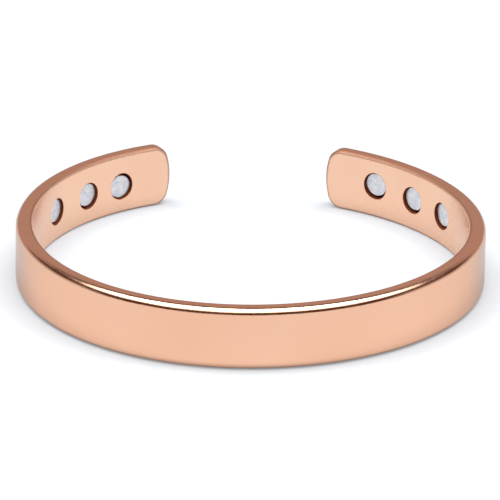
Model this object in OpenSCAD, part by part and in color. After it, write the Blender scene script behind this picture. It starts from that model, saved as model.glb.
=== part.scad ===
// Open cuff bracelet: one flat copper band, bent round the wrist and left open at the back,
// with three small disc magnets glued into blind pockets inside each end.
// It lies on its lower edge: X runs from left to right, Y from the front to the gap, Z up.

/* [Band] */
// Height of the band
band_h = 8; // [7:0.5:12]
// Thickness of the band, from its outer to its inner face
band_t = 2.05; // [1.9:0.05:3]
// Rounding of the band's outer edges
outer_round = 0.85; // [0.2:0.05:0.9]
// Rounding of the band's inner edges
inner_round = 0.4; // [0.1:0.05:0.6]

/* [Bend] */
// Mean radius of the bend, at the outer face
bend_r = 28.4; // [24:0.1:34]
// How much flatter the bend is at the front than at the sides
oval_r = 2.7; // [0:0.1:4]
// How much tighter the left shoulder of the bend is than the right one
skew_r = 1.55; // [0:0.05:2.5]
// Angle that the left half of the bend turns through, from the front to its straight end
left_sweep = 154.2; // [135:0.1:160]
// Angle that the right half of the bend turns through, from the front to its straight end
right_sweep = 154.6; // [135:0.1:160]

/* [Ends] */
// Straight length of the band's edges between the bend and the corners of a tip
straight_l = 0.5; // [0.1:0.1:4]
// Radius of the two corners of a tip
tip_corner_r = 2; // [1:0.1:2.4]
// Radius of the slight bow between a tip's corners
tip_bow_r = 9.5; // [7:0.5:30]

/* [Magnets] */
// Diameter of a magnet
magnet_d = 3.1; // [2:0.1:3.6]
// Thickness of a magnet
magnet_t = 1; // [0.6:0.1:1.2]
// Bevel round the face of a magnet
magnet_bevel = 0.12; // [0.05:0.01:0.25]
// How far the face of a magnet lies below the inner face of the band
recess = 0.3; // [0.1:0.05:0.6]
// Clearance round a magnet in its pocket
side_gap = 0.2; // [0.05:0.05:0.4]
// Clearance between a magnet and the floor of its pocket
floor_gap = 0.05; // [0.02:0.01:0.1]
// Bevel round the mouth of a pocket
mouth_bevel = 0.08; // [0.04:0.01:0.2]
// Distances of the left pockets from the left tip, along the outer face
left_places = [7.4, 13.3, 20.6]; // [5:0.1:40]
// Distances of the right pockets from the right tip, along the outer face
right_places = [7.5, 14.1, 20.6]; // [5:0.1:40]
// How far each left pocket lies above the middle of the band's height
left_rises = [-0.35, -0.25, -0.1]; // [-0.5:0.05:0.5]
// How far each right pocket lies above the middle of the band's height
right_rises = [0.25, 0.05, 0]; // [-0.5:0.05:0.5]

/* [Hidden] */
$fn = 72;
copper = "#f0bd9c";
nickel = "#ccd0d6";

left = -1;
right = 1;
// How far a cutter stands out of the face that it cuts
over = 1;

// How finely the band's curves are drawn
bend_steps = 60;
corner_steps = 5;
bow_steps = 3;
round_steps = 3;

// Where each magnet sits in its pocket, in shares of the side gap: [toward the tip, upward]
left_seats = [[0, -0.7], [0.3, 0.3], [0.3, 0.3]];
right_seats = [[0.2, 0.6], [0.2, 0.6], [0.3, 0.6]];

function pick(side, at_left, at_right) = side == left ? at_left : at_right;

// A place on the bend is told by its turn: the angle from the front to there, more to the right
function end_turn(side) = side * pick(side, left_sweep, right_sweep);
function outward(turn) = [sin(turn), -cos(turn)];
function along(turn) = [cos(turn), sin(turn)];
function radius_at(turn) = bend_r + oval_r * cos(2 * turn) + skew_r * sin(3 * turn);

// The outer face and the length along it are radius_at() summed up over the turn
function on_face(turn) = [
    bend_r * sin(turn) + oval_r * (sin(turn) / 2 + sin(3 * turn) / 6)
        - skew_r * (cos(2 * turn) / 4 + cos(4 * turn) / 8),
    -bend_r * cos(turn) + oval_r * (cos(turn) / 2 - cos(3 * turn) / 6)
        + skew_r * (sin(2 * turn) / 4 - sin(4 * turn) / 8),
];
function length_to(turn) =
    bend_r * turn * PI / 180 + oval_r * sin(2 * turn) / 2 - skew_r * cos(3 * turn) / 3;

// The turn at a length, found by Newton's steps from a first guess
function turn_at(length, guess, steps = 6) =
    steps == 0 ? guess :
    turn_at(length, guess + (length - length_to(guess)) / radius_at(guess) * 180 / PI, steps - 1);
function pocket_turn(side, i) =
    let (from_tip = pick(side, left_places, right_places)[i])
    turn_at(length_to(end_turn(side)) - side * (from_tip - tip_l), end_turn(side));

// A tip's corners touch its bow, so their centres lie on a circle about the bow's centre
bow_turn = asin((band_h / 2 - tip_corner_r) / (tip_bow_r - tip_corner_r));
tip_l = straight_l + tip_bow_r - (tip_bow_r - tip_corner_r) * cos(bow_turn);

// The rounded edge of a tip is what reaches furthest back
function back_reach(side) =
    let (turn = end_turn(side), away = side * along(turn))
    (on_face(turn) + tip_l * away - outer_round * (outward(turn) + away))[1] + outer_round;

// The middle of the outline seen from above
middle = [
    (on_face(90)[0] + on_face(-90)[0]) / 2,
    (on_face(0)[1] + max(back_reach(left), back_reach(right))) / 2,
];

pocket_d = magnet_d + 2 * side_gap;
pocket_depth = recess + magnet_t + floor_gap;

// Outline of half a tip: [distance beyond the bend, height over the middle, angle of its edge]
bow_half = [
    for (i = [0 : bow_steps - 1])
        let (a = bow_turn * (2 * i + 1) / (2 * bow_steps - 1))
        [tip_l - tip_bow_r + tip_bow_r * cos(a), tip_bow_r * sin(a), a]
];
corner = [
    for (i = [1 : corner_steps])
        let (a = bow_turn + (90 - bow_turn) * i / corner_steps)
        [straight_l + tip_corner_r * cos(a), band_h / 2 - tip_corner_r + tip_corner_r * sin(a), a]
];
half_tip = concat(bow_half, corner);

// Upper half of the band's outline, from the right tip to the left one: [turn, x, height, angle]
upper = concat(
    [for (p = half_tip) [end_turn(right), p[0], p[1], p[2]]],
    [
        for (i = [0 : bend_steps])
            [end_turn(right) + (end_turn(left) - end_turn(right)) * i / bend_steps, 0, band_h / 2, 90]
    ],
    [
        for (i = [len(half_tip) - 1 : -1 : 0])
            let (p = half_tip[i])
            [end_turn(left), -p[0], p[1], 180 - p[2]]
    ]
);
lower = [
    for (i = [len(upper) - 1 : -1 : 0])
        let (p = upper[i])
        [p[0], p[1], -p[2], -p[3]]
];
outline = concat(upper, lower);

// The rounded edge that runs round the outline: [how far it lies inside, depth under the outer face]
edge = concat(
    [
        for (i = [0 : round_steps])
            let (a = 90 * i / round_steps)
            [outer_round * (1 - sin(a)), outer_round * (1 - cos(a))]
    ],
    [
        for (i = [0 : round_steps])
            let (a = 90 * i / round_steps)
            [inner_round * (1 - cos(a)), band_t - inner_round * (1 - sin(a))]
    ]
);

function band_point(p, e) =
    let (
        flat = on_face(p[0]) + (p[1] - e[0] * cos(p[3])) * along(p[0]) - e[1] * outward(p[0])
    )
    [flat[0], flat[1], band_h / 2 + p[2] - e[0] * sin(p[3])];

// Two triangles between four points
function quad(a, b, c, d) = [[a, b, c], [a, c, d]];

module band() {
    n = len(outline);
    m = len(edge);
    round_faces = [
        for (i = [0 : n - 1], k = [0 : m - 2])
            let (next = (i + 1) % n)
            each quad(i * m + k, next * m + k, next * m + k + 1, i * m + k + 1)
    ];
    broad_faces = [
        for (i = [0 : len(upper) - 2])
            let (below = n - 1 - i)
            each concat(
                quad(i * m, below * m, (below - 1) * m, (i + 1) * m),
                quad((i + 1) * m + m - 1, (below - 1) * m + m - 1, below * m + m - 1, i * m + m - 1)
            )
    ];
    polyhedron([for (p = outline, e = edge) band_point(p, e)], concat(round_faces, broad_faces));
}

// Children stand at the mouth of a pocket: X runs along the band, Y up and Z down into the pocket
module at_pocket(side, i)
    let (turn = pocket_turn(side, i), rise = pick(side, left_rises, right_rises)[i])
        translate(on_face(turn))
            rotate(turn)
                translate([0, band_t, band_h / 2 + rise])
                    rotate([90, 0, 0])
                        children();

module pocket() {
    translate([0, 0, -over])
        cylinder(d = pocket_d, h = pocket_depth + over);
    translate([0, 0, -over])
        cylinder(
            d1 = pocket_d + 2 * (mouth_bevel + over),
            d2 = pocket_d,
            h = mouth_bevel + over
        );
}

module cuff() {
    color(copper)
        translate(-middle)
            difference() {
                band();
                for (side = [left, right], i = [0 : 2])
                    at_pocket(side, i)
                        pocket();
            }
}

module magnet(side, i) {
    seat = side_gap * pick(side, left_seats, right_seats)[i];
    color(nickel)
        translate(-middle)
            at_pocket(side, i)
                translate([side * seat[0], seat[1], recess]) {
                    cylinder(d1 = magnet_d - 2 * magnet_bevel, d2 = magnet_d, h = magnet_bevel);
                    translate([0, 0, magnet_bevel])
                        cylinder(d = magnet_d, h = magnet_t - magnet_bevel);
                }
}

cuff();
for (i = [0 : 2]) {
    magnet(left, i);
    magnet(right, i);
}
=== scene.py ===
import math

import bmesh
import bpy
from mathutils import Matrix, Vector


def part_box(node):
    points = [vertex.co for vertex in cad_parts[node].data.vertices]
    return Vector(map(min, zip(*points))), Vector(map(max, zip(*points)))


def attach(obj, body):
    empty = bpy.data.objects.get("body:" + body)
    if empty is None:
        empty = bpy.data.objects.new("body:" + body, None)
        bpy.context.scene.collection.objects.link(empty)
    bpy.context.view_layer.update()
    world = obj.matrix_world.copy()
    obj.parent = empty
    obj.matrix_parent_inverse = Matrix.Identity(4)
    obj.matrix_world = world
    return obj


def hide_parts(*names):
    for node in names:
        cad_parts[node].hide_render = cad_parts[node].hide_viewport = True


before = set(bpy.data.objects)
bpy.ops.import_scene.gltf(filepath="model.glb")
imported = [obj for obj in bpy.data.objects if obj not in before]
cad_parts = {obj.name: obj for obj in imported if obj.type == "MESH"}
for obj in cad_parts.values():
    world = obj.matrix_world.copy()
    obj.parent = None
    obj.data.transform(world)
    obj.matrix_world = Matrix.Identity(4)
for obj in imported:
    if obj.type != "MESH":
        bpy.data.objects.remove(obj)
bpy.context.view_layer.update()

# The band: a strip of solid copper, cut to length with two rounded tips. Its edges are rolled
# over, six blind pockets are drilled into one face, and then it is bent round a mandrel.
# Here it goes through the same steps, in millimetres: X along the strip, Y through it, Z up it.
MM = 0.001
band_h = 8.0
band_t = 2.05
outer_round = 0.85
inner_round = 0.4
straight_l = 0.5
tip_corner_r = 2.0
tip_bow_r = 9.5

bend_r = 28.4
oval_r = 2.7
skew_r = 1.55
left_end = math.radians(-154.2)
right_end = math.radians(154.6)

# How finely the curves are drawn
columns = 400
corner_steps = 16
bow_steps = 14
outer_steps = 12
inner_steps = 8
mouth_steps = 4
newton_steps = 8

# A narrow strip of facets beside each rounding keeps the flat faces flat in the light
hold = 0.03
# A corner this close to a plane counts as lying on it
touching = 1e-5
strip = bmesh.new()


# A place on the bend is told by its turn: the angle from the front to there, more to the right
def outward(turn):
    return Vector((math.sin(turn), -math.cos(turn), 0))


def along(turn):
    return Vector((math.cos(turn), math.sin(turn), 0))


def radius_at(turn):
    return bend_r + oval_r * math.cos(2 * turn) + skew_r * math.sin(3 * turn)


def length_to(turn):
    return bend_r * turn + oval_r * math.sin(2 * turn) / 2 - skew_r * math.cos(3 * turn) / 3


def on_bend(turn):
    """A point of the outer face: radius_at() summed up from the front to a turn."""
    sin, cos = math.sin, math.cos
    x = bend_r * sin(turn) + oval_r * (sin(turn) / 2 + sin(3 * turn) / 6)
    x -= skew_r * (cos(2 * turn) / 4 + cos(4 * turn) / 8)
    y = -bend_r * cos(turn) + oval_r * (cos(turn) / 2 - cos(3 * turn) / 6)
    y += skew_r * (sin(2 * turn) / 4 - sin(4 * turn) / 8)
    return Vector((x, y, 0))


def turn_at(length):
    """The turn at a length along the outer face, found by Newton's steps."""
    turn = length / bend_r
    for _ in range(newton_steps):
        turn += (length - length_to(turn)) / radius_at(turn)
    return turn


# A tip's corners touch its bow, so their centres lie on a circle about the bow's centre
bow_turn = math.asin((band_h / 2 - tip_corner_r) / (tip_bow_r - tip_corner_r))
tip_l = straight_l + tip_bow_r - (tip_bow_r - tip_corner_r) * math.cos(bow_turn)
strip_left = length_to(left_end)
strip_right = length_to(right_end)


def swing(corner, centre, angle, steps):
    """Draws on from a corner of the outline, clockwise round a centre, to the arc's last corner."""
    arc = bmesh.ops.spin(
        strip, geom=[corner], cent=centre, axis=(0, 1, 0), angle=angle, steps=steps,
        use_merge=False, use_duplicate=False,
    )
    return next(v for v in arc["geom_last"] if isinstance(v, bmesh.types.BMVert))


def draw_tip(end, side):
    """The outline of a tip: a corner, the slight bow, and the other corner."""
    corner_x = end + side * straight_l
    corner_z = side * (band_h / 2 - tip_corner_r)
    first = strip.verts.new((corner_x, 0, side * band_h / 2))
    last = swing(first, (corner_x, 0, corner_z), math.pi / 2 - bow_turn, corner_steps)
    last = swing(last, (end + side * (tip_l - tip_bow_r), 0, 0), 2 * bow_turn, bow_steps)
    last = swing(last, (corner_x, 0, -corner_z), math.pi / 2 - bow_turn, corner_steps)
    return first, last


def is_at(corners, y):
    """Whether corners all lie at one depth of the strip, such as in its outer or its inner face."""
    return all(abs(v.co.y - y) < hold / 2 for v in corners)


def cut(faces, place, normal):
    """Scores faces along a plane."""
    edges = {e for f in faces for e in f.edges}
    corners = {v for f in faces for v in f.verts}
    bmesh.ops.bisect_plane(
        strip, geom=[*faces, *edges, *corners], dist=touching, plane_co=place, plane_no=normal,
    )


def round_off(solid, edges, radius, steps):
    """Rounds the sharp edges of a solid to a radius."""
    bmesh.ops.bevel(
        solid, geom=edges, offset=radius, offset_type="OFFSET", segments=steps, profile=0.5,
        affect="EDGES", material=-1, clamp_overlap=False,
    )


right_first, right_last = draw_tip(strip_right, 1)
left_first, left_last = draw_tip(strip_left, -1)
strip.edges.new((right_last, left_first))
strip.edges.new((left_last, right_first))
blank = bmesh.ops.contextual_create(strip, geom=strip.edges)["faces"]
slab = bmesh.ops.extrude_face_region(strip, geom=blank)["geom"]
bmesh.ops.translate(
    strip, verts=[v for v in slab if isinstance(v, bmesh.types.BMVert)], vec=(0, band_t, 0)
)

round_off(strip, [e for e in strip.edges if is_at(e.verts, 0)], outer_round, outer_steps)
round_off(strip, [e for e in strip.edges if is_at(e.verts, band_t)], inner_round, inner_steps)

# The outer and the inner face are the two with the most corners
broad_faces = sorted(strip.faces, key=lambda f: len(f.verts))[-2:]
bmesh.ops.inset_region(
    strip, faces=broad_faces, thickness=hold, depth=0, use_even_offset=True, use_boundary=True
)
cut(strip.faces, (0, outer_round + hold, 0), (0, 1, 0))
cut(strip.faces, (0, band_t - inner_round - hold, 0), (0, 1, 0))

# Columns of facets between the tips give the strip what it needs to bend
column_w = (strip_right - strip_left) / columns
cut(strip.faces, (strip_left, 0, 0), (1, 0, 0))
cut(strip.faces, (strip_right, 0, 0), (1, 0, 0))
long_edges = [e for e in strip.edges if abs(e.verts[0].co.x - e.verts[1].co.x) > tip_l]
bmesh.ops.subdivide_edges(strip, edges=long_edges, cuts=columns - 1)

# Each pocket is drilled in a square patch of the inner face
pocket_r = 1.75
pocket_depth = 1.35
mouth_round = 0.1
patch_cells = 13
patch = patch_cells * column_w

# Where each pocket is, named by the magnet that it holds: which side's end it is in, how far from
# the tip, and how far above the middle of the strip
pockets = {
    "magnet_left_1": (-1, 7.4, -0.35),
    "magnet_left_2": (-1, 13.3, -0.25),
    "magnet_left_3": (-1, 20.6, -0.1),
    "magnet_right_1": (1, 7.5, 0.25),
    "magnet_right_2": (1, 14.1, 0.05),
    "magnet_right_3": (1, 20.6, 0.0),
}

# How dull each surface of the strip is, from 0 for a mirror to 1 for a bore. The same number also
# picks the surface's colour, which holds painted light and shade: the inner face painted a shade
# lighter, its rolled edges painted darker, and the bores dark brown, drilled copper with painted
# shade
dullness_and_painted_light = strip.faces.layers.float.new("dullness_and_painted_light")
mirror = 0.0
# The inner face's level also paints it a shade lighter than the mirror, and so does the shallow end
# of the satin: painted light
soft_polish_lightened = 0.05
satin_lightened = 0.35
deep_satin_shaded = 0.5
drilled_and_shaded = 1.0
# How much duller the satin would get over a whole rounding, did it not stop at its deepest; the
# rounding's colour darkens with it, as painted shade
satin_and_shade_rise = 0.5
# What lies deeper than this under the inner face belongs to a rounding
inner_face_depth = 0.001


def pocket_x(side, from_tip):
    end = strip_right if side > 0 else strip_left
    return end + side * (tip_l - from_tip)


def drawn_on(rim, place):
    """Draws a rim of edges on, puts each new corner at its place, and gives the new rim."""
    made = bmesh.ops.extrude_edge_only(strip, edges=rim)["geom"]
    corners = {v for v in made if isinstance(v, bmesh.types.BMVert)}
    for v in corners:
        v.co = place(v.co)
    return [e for e in made if isinstance(e, bmesh.types.BMEdge) and set(e.verts) <= corners]


def drill(side, from_tip, rise):
    """Takes a square out of the inner face and draws its rim to a round mouth, then down a bore."""
    centre = Vector((pocket_x(side, from_tip), band_t, rise))
    columns_before = round((centre.x - patch / 2 - strip_left) / column_w)
    patch_left = strip_left + columns_before * column_w
    mouth_r = pocket_r + mouth_round + hold

    def patch_faces():
        return [
            f for f in strip.faces
            if is_at(f.verts, band_t) and 0 < f.calc_center_median().x - patch_left < patch
        ]

    def on_mouth(co):
        """The square's corners go evenly round the mouth, an eighth of it for each half side."""
        across, up = co.x - patch_left - patch / 2, co.z
        if abs(across) > abs(up):
            turn = math.pi / 4 * up / across + (0 if across > 0 else math.pi)
        else:
            turn = math.pi / 2 - math.pi / 4 * across / up + (0 if up > 0 else math.pi)
        return centre + mouth_r * Vector((math.cos(turn), 0, math.sin(turn)))

    cut(patch_faces(), (0, 0, -patch / 2), (0, 0, 1))
    cut(patch_faces(), (0, 0, patch / 2), (0, 0, 1))
    square = [f for f in patch_faces() if abs(f.calc_center_median().z) < patch / 2]
    edges = [e for f in square for e in f.edges]
    upright = [e for e in edges if abs(e.verts[0].co.z - e.verts[1].co.z) > patch / 2]
    bmesh.ops.delete(strip, geom=square, context="FACES")
    upright_sides = [e for e in upright if e.is_valid]
    bmesh.ops.subdivide_edges(strip, edges=upright_sides, cuts=patch_cells - 1)
    rim = drawn_on([e for e in strip.edges if e.is_boundary], on_mouth)
    rim = drawn_on(rim, lambda co: centre + (co - centre) * pocket_r / mouth_r)
    floor = drawn_on(rim, lambda co: co - Vector((0, pocket_depth, 0)))
    bmesh.ops.contextual_create(strip, geom=floor)
    # Walls and floor of the bore: rough drilled copper, coloured dark brown, partly painted shade
    # in the pocket
    for edge in floor:
        edge.smooth = False
        for face in edge.link_faces:
            face[dullness_and_painted_light] = drilled_and_shaded
    round_off(strip, rim, mouth_round, mouth_steps)


for pocket in pockets.values():
    drill(*pocket)

# The wheel polishes the outside of the strip and its outer edges. The inner face stays a little
# softer and is painted a shade lighter, as painted light. Its rolled edges and the pockets' mouths
# are satin, and painted darker towards the middle of each rounding, as painted shade. The bores are
# left as drilled, coloured dark brown: rough copper, with painted shade in the pockets.
for face in strip.faces:
    depth = band_t - face.calc_center_median().y
    if face[dullness_and_painted_light] == mirror and depth < inner_round:
        # Deeper into a rolled edge the colour gets darker: painted shade
        rolled_and_shaded = min(satin_lightened + satin_and_shade_rise * depth / inner_round, deep_satin_shaded)
        face[dullness_and_painted_light] = soft_polish_lightened if depth < inner_face_depth else rolled_and_shaded

# The flat strip's own sheet of marks, which the buffing lines follow: millimetres along and across
marks = strip.loops.layers.uv.new("strip_mm")
for face in strip.faces:
    for loop in face.loops:
        loop[marks].uv = (loop.vert.co.x, loop.vert.co.z + loop.vert.co.y)


def bent(flat):
    """Where a point of the flat strip goes when the strip is bent."""
    turn = turn_at(min(max(flat.x, strip_left), strip_right))
    beyond = flat.x - length_to(turn)
    place = on_bend(turn) + beyond * along(turn) - flat.y * outward(turn)
    return place + Vector((0, 0, flat.z))


def back_reach(turn, away):
    """How far back a tip goes: its rounded edge is what reaches furthest."""
    edge_centre = on_bend(turn) + tip_l * away - outer_round * (outward(turn) + away)
    return edge_centre.y + outer_round


# The middle of the outline seen from above, at the height of the lower edge
left_back = back_reach(left_end, -along(left_end))
right_back = back_reach(right_end, along(right_end))
middle = Vector((
    (on_bend(math.pi / 2).x + on_bend(-math.pi / 2).x) / 2,
    (on_bend(0).y + max(left_back, right_back)) / 2,
    -band_h / 2,
))
for v in strip.verts:
    v.co = (bent(v.co) - middle) * MM


def seated(name, solid, material):
    """Makes a worked solid a piece that stands for the node of the same name."""
    solid.normal_update()
    bmesh.ops.recalc_face_normals(solid, faces=solid.faces)
    for face in solid.faces:
        face.smooth = True
    mesh = bpy.data.meshes.new(name)
    solid.to_mesh(mesh)
    solid.free()
    mesh.materials.append(material)
    piece = bpy.data.objects.new("shown_" + name, mesh)
    bpy.context.scene.collection.objects.link(piece)
    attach(piece, "root")
    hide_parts(name)


def linear(shade):
    """An sRGB hex colour as the linear values that a shader takes."""
    parts = [int(shade[i:i + 2], 16) / 255 for i in (0, 2, 4)]
    return (*[p / 12.92 if p <= 0.04045 else ((p + 0.055) / 1.055) ** 2.4 for p in parts], 1)


def put(tree, kind, inputs=None, **settings):
    """Adds a node with its settings, and gives each input its value or its link."""
    node = tree.nodes.new(kind)
    for name, value in settings.items():
        setattr(node, name, value)
    for name, value in (inputs or {}).items():
        if isinstance(value, bpy.types.NodeSocket):
            tree.links.new(value, node.inputs[name])
        else:
            node.inputs[name].default_value = value
    return node


def unpainted(name):
    """A new material, its tree still empty, and the place on the piece that its patterns follow."""
    material = bpy.data.materials.new(name)
    material.use_nodes = True
    tree = material.node_tree
    tree.nodes.clear()
    return material, tree, put(tree, "ShaderNodeTexCoord").outputs["Object"]


def polished_copper():
    """Solid copper, buffed to a mirror along the strip: clear reflections, slightly drawn out
    by fine buffing lines, with a faint haze in patches and a tone that drifts from rose to gold."""
    material, tree, place = unpainted("polished_copper")
    tone = put(tree, "ShaderNodeTexNoise", {
        "Vector": place, "Scale": 1 / (14 * MM), "Detail": 2.0, "Roughness": 0.5,
    }).outputs["Fac"]
    drift = put(tree, "ShaderNodeMix", {
        "Factor": tone, "A": linear("f9f0ea"), "B": linear("ffffff"),
    }, data_type="RGBA").outputs["Result"]
    dull_and_painted_light = put(tree, "ShaderNodeAttribute", attribute_name="dullness_and_painted_light").outputs["Fac"]
    # Colour from the mirror, by the softer inner face and the satin edges, to the bores, with
    # painted
    # light and shade in it: the inner face a shade lighter, the rolled edges and the bores darker
    finish_and_painted_light = put(tree, "ShaderNodeValToRGB", {"Fac": dull_and_painted_light})
    shades = finish_and_painted_light.color_ramp.elements
    shades[0].color = linear("f1c1a3")
    shades[1].color = linear("96563c")
    for where, shade in ((soft_polish_lightened, "f4caae"), (satin_lightened, "f4cbb2"), (deep_satin_shaded, "8a6652")):
        shades.new(where).color = linear(shade)
    colour = put(tree, "ShaderNodeMix", {
        "Factor": 1.0, "A": finish_and_painted_light.outputs["Color"], "B": drift,
    }, data_type="RGBA", blend_type="MULTIPLY").outputs["Result"]
    # A painted cool grey tint greys the mirror's reflections where it turns away from the eye:
    # painted reflection colour
    off_mirror = put(tree, "ShaderNodeMath", {
        0: dull_and_painted_light, 1: soft_polish_lightened / 2,
    }, operation="GREATER_THAN").outputs["Value"]
    painted_edge_tint = put(tree, "ShaderNodeMix", {
        "Factor": off_mirror, "A": linear("d4dade"), "B": linear("ffffff"),
    }, data_type="RGBA").outputs["Result"]
    haze = put(tree, "ShaderNodeTexNoise", {
        "Vector": place, "Scale": 1 / (3 * MM), "Detail": 5.0, "Roughness": 0.6,
    }).outputs["Fac"]
    sheet = put(tree, "ShaderNodeUVMap", uv_map="strip_mm").outputs["UV"]
    # Buffing lines, in millimetres, drawn a little coarser than the real grit so that they show
    line_l = 4
    line_gap = 0.08
    drawn_out = put(tree, "ShaderNodeMapping", {
        "Vector": sheet, "Scale": (1 / line_l, 1 / line_gap, 1),
    }).outputs["Vector"]
    lines = put(tree, "ShaderNodeTexNoise", {
        "Vector": drawn_out, "Scale": 1.0, "Detail": 3.0, "Roughness": 0.65,
    }, noise_dimensions="2D").outputs["Fac"]
    rough = put(tree, "ShaderNodeMapRange", {
        "Value": haze, "From Min": 0.3, "From Max": 0.7, "To Min": 0.14, "To Max": 0.2,
    }).outputs["Result"]
    # How much the lines and the drill add to the roughness
    line_rough = 0.06
    drill_rough = 0.9
    streaked = put(tree, "ShaderNodeMath", {
        0: lines, 1: line_rough, 2: rough,
    }, operation="MULTIPLY_ADD").outputs["Value"]
    roughness = put(tree, "ShaderNodeMath", {
        0: dull_and_painted_light, 1: drill_rough, 2: streaked,
    }, operation="MULTIPLY_ADD").outputs["Value"]
    waves = put(tree, "ShaderNodeTexNoise", {
        "Vector": place, "Scale": 1 / (9 * MM), "Detail": 1.0, "Roughness": 0.5,
    }).outputs["Fac"]
    wavy = put(tree, "ShaderNodeBump", {
        "Height": waves, "Strength": 1.0, "Distance": 0.12 * MM,
    }).outputs["Normal"]
    relief = put(tree, "ShaderNodeBump", {
        "Height": lines, "Strength": 0.05, "Distance": 0.02 * MM, "Normal": wavy,
    }).outputs["Normal"]
    shader = put(tree, "ShaderNodeBsdfPrincipled", {
        "Base Color": colour, "Metallic": 1.0, "Specular Tint": painted_edge_tint, "Roughness": roughness,
        "Normal": relief,
    })
    put(tree, "ShaderNodeOutputMaterial", {"Surface": shader.outputs["BSDF"]})
    return material


seated("cuff", strip, polished_copper())

# The magnets: small discs of sintered magnet, nickel plated and tumbled, so that the plating is
# satin and faintly mottled and their edges are rounded. Each is glued into its pocket by hand.
magnet_r = 1.55
magnet_t = 1.0
magnet_round = 0.14
disc_sides = 64
magnet_round_steps = 5


def plated_nickel():
    """Satin nickel over a sintered core: a cool light grey with cloudy patches and tiny pits."""
    material, tree, place = unpainted("plated_magnet")
    mottle = put(tree, "ShaderNodeTexNoise", {
        "Vector": place, "Scale": 1 / (0.7 * MM), "Detail": 4.0, "Roughness": 0.65,
    }).outputs["Fac"]
    clouds = put(tree, "ShaderNodeMapRange", {
        "Value": mottle, "From Min": 0.38, "From Max": 0.62,
    }).outputs["Result"]
    colour = put(tree, "ShaderNodeMix", {
        "Factor": clouds, "A": linear("cbd1db"), "B": linear("efeeed"),
    }, data_type="RGBA").outputs["Result"]
    roughness = put(tree, "ShaderNodeMapRange", {
        "Value": clouds, "To Min": 0.42, "To Max": 0.52,
    }).outputs["Result"]
    pits = put(tree, "ShaderNodeTexNoise", {
        "Vector": place, "Scale": 1 / (0.12 * MM), "Detail": 2.0, "Roughness": 0.5,
    }).outputs["Fac"]
    relief = put(tree, "ShaderNodeBump", {
        "Height": pits, "Strength": 0.25, "Distance": 0.02 * MM,
    }).outputs["Normal"]
    shader = put(tree, "ShaderNodeBsdfPrincipled", {
        "Base Color": colour, "Metallic": 1.0, "Roughness": roughness, "Normal": relief,
    })
    put(tree, "ShaderNodeOutputMaterial", {"Surface": shader.outputs["BSDF"]})
    return material


nickel = plated_nickel()
for name, (side, from_tip, _) in pockets.items():
    disc = bmesh.new()
    bmesh.ops.create_cone(
        disc, cap_ends=True, segments=disc_sides, radius1=magnet_r, radius2=magnet_r,
        depth=magnet_t,
    )
    top_edges = [e for e in disc.edges if all(v.co.z > 0 for v in e.verts)]
    round_off(disc, top_edges, magnet_round, magnet_round_steps)
    face = max(disc.faces, key=lambda f: f.calc_center_median().z)
    bmesh.ops.inset_region(disc, faces=[face], thickness=hold, use_even_offset=True)
    low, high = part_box(name)
    turn = turn_at(pocket_x(side, from_tip))
    # The face of the disc looks inward, away from the band
    bmesh.ops.transform(
        disc, verts=disc.verts,
        matrix=Matrix.Translation((low + high) / 2) @ Matrix.Rotation(turn, 4, "Z")
        @ Matrix.Rotation(-math.pi / 2, 4, "X") @ Matrix.Scale(MM, 4),
    )
    seated(name, disc, nickel)

# The surface that the cuff lies on: a plain sheet of matt white board. It glows faintly, lit from
# below as on a light table, which keeps the shadows round the cuff pale.
board_reach = 3000 * MM


def white_board():
    """Matt white board, faintly aglow: soft and even, with the faintest tooth."""
    material, tree, place = unpainted("white_board")
    tooth = put(tree, "ShaderNodeTexNoise", {
        "Vector": place, "Scale": 1 / (2 * MM), "Detail": 3.0,
    }).outputs["Fac"]
    colour = put(tree, "ShaderNodeMix", {
        "Factor": tooth, "A": linear("8f9296"), "B": linear("939699"),
    }, data_type="RGBA").outputs["Result"]
    shader = put(tree, "ShaderNodeBsdfPrincipled", {
        "Base Color": colour, "Roughness": 0.9, "Specular IOR Level": 0.1,
        "Emission Color": linear("f8fbff"), "Emission Strength": 0.27,
    })
    put(tree, "ShaderNodeOutputMaterial", {"Surface": shader.outputs["BSDF"]})
    return material


sheet = bmesh.new()
bmesh.ops.create_grid(sheet, x_segments=1, y_segments=1, size=board_reach)
mesh = bpy.data.meshes.new("board")
sheet.to_mesh(mesh)
sheet.free()
mesh.materials.append(white_board())
board = bpy.data.objects.new("board", mesh)
bpy.context.scene.collection.objects.link(board)

# The light of a small studio: a broad soft lamp overhead that comes lower down at the sides and in
# front, brightest high up just behind the cuff. Below it are a warm grey wall and a dark ceiling
# behind, dark curtains over a pale floor at the sides, and the dark room in front.
scene = bpy.context.scene
scene.view_settings.view_transform = "Standard"
scene.world = bpy.data.worlds.new("studio")
scene.world.use_nodes = True
room = scene.world.node_tree
room.nodes.clear()

# What goes over into what between two heights, in degrees above the table
floor_to_curtain = (12, 22)
wall_to_ceiling = (28, 46)
floor_to_room = (4, 20)
# The same between two bearings, in degrees from straight behind the cuff to straight in front of it
wall_to_curtain = (34, 54)
curtain_to_room = (95, 115)

# How many degrees above the table the lamp starts: behind the cuff, and at its sides and in front.
# It comes down between two bearings, and its lower edge is soft by so many degrees to each side.
lamp_foot_behind = 77
lamp_foot_around = 42
lamp_comes_down = (15, 90)
lamp_edge = (-5, 5)

# How bright the lamp is, all round and at its peak, which rises between two heights in degrees.
# The peak is on the side behind the cuff only, from about straight overhead.
glow = 3.4
peak_glow = 16
peak_rises = (50, 66)
peak_side = (-0.12, -0.02)


def goes_over(place, span, near, far, kind="RGBA"):
    """What goes over softly, from one colour or number to another, as a place crosses a span."""
    share = put(room, "ShaderNodeMapRange", {
        "Value": place, "From Min": span[0], "From Max": span[1],
    }, interpolation_type="SMOOTHSTEP").outputs["Result"]
    return put(room, "ShaderNodeMix", {
        "Factor": share, "A": near, "B": far,
    }, data_type=kind).outputs["Result"]


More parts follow.
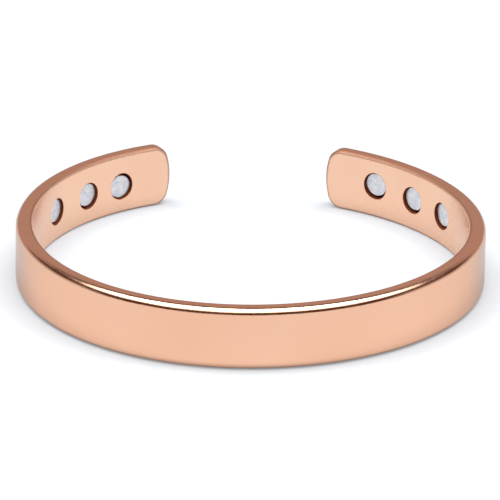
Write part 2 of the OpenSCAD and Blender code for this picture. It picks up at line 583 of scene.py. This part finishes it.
sky = put(room, "ShaderNodeTexCoord").outputs["Generated"]
toward = put(room, "ShaderNodeSeparateXYZ", {"Vector": sky}).outputs
height = put(room, "ShaderNodeMath", {0: toward["Z"]}, operation="ARCSINE").outputs["Value"]
up_by = put(room, "ShaderNodeMath", {0: height}, operation="DEGREES").outputs["Value"]
aside = put(room, "ShaderNodeMath", {0: toward["X"]}, operation="ABSOLUTE").outputs["Value"]
round_by = put(room, "ShaderNodeMath", {
    0: aside, 1: toward["Y"],
}, operation="ARCTAN2").outputs["Value"]
bearing = put(room, "ShaderNodeMath", {0: round_by}, operation="DEGREES").outputs["Value"]

curtain = goes_over(up_by, floor_to_curtain, linear("cccccc"), linear("4a1a0a"))
wall = goes_over(up_by, wall_to_ceiling, linear("c4aba4"), linear("544e4c"))
dark_room = goes_over(up_by, floor_to_room, linear("55301e"), linear("43210f"))
back_half = goes_over(bearing, wall_to_curtain, wall, curtain)
around = goes_over(bearing, curtain_to_room, back_half, dark_room)

lamp_foot = goes_over(bearing, lamp_comes_down, lamp_foot_behind, lamp_foot_around, "FLOAT")
above_foot = put(room, "ShaderNodeMath", {
    0: up_by, 1: lamp_foot,
}, operation="SUBTRACT").outputs["Value"]
peak = goes_over(up_by, peak_rises, glow, peak_glow, "FLOAT")
lamp_glow = goes_over(toward["Y"], peak_side, glow, peak, "FLOAT")
backdrop = put(room, "ShaderNodeBackground", {
    "Color": goes_over(above_foot, lamp_edge, around, linear("ffffff")),
    "Strength": goes_over(above_foot, lamp_edge, 1.0, lamp_glow, "FLOAT"),
})
put(room, "ShaderNodeOutputWorld", {"Surface": backdrop.outputs["Background"]})

# The camera, far off with a long lens, looks down at the open side across the front of the cuff.
# Its lens and its place were found by fitting the outline of the cuff to the photo.
focal_px = 6862.4
image_px = 500
film_w = 36.0
distance = 856.5 * MM
elevation = math.radians(23.49)
roll = math.radians(0.87)
target = Vector((-0.06, 1.03, 4.0)) * MM

back = Vector((0, -math.cos(elevation), math.sin(elevation)))
level_right = Vector((1, 0, 0))
level_up = Vector((0, math.sin(elevation), math.cos(elevation)))
right = level_right * math.cos(roll) + level_up * math.sin(roll)
up = level_up * math.cos(roll) - level_right * math.sin(roll)
lens = bpy.data.cameras.new("camera")
lens.sensor_width = film_w
lens.lens = focal_px * film_w / image_px
camera = bpy.data.objects.new("camera", lens)
turned = Matrix((right, up, back)).transposed().to_4x4()
camera.matrix_world = Matrix.Translation(target + back * distance) @ turned
scene.collection.objects.link(camera)
scene.camera = camera
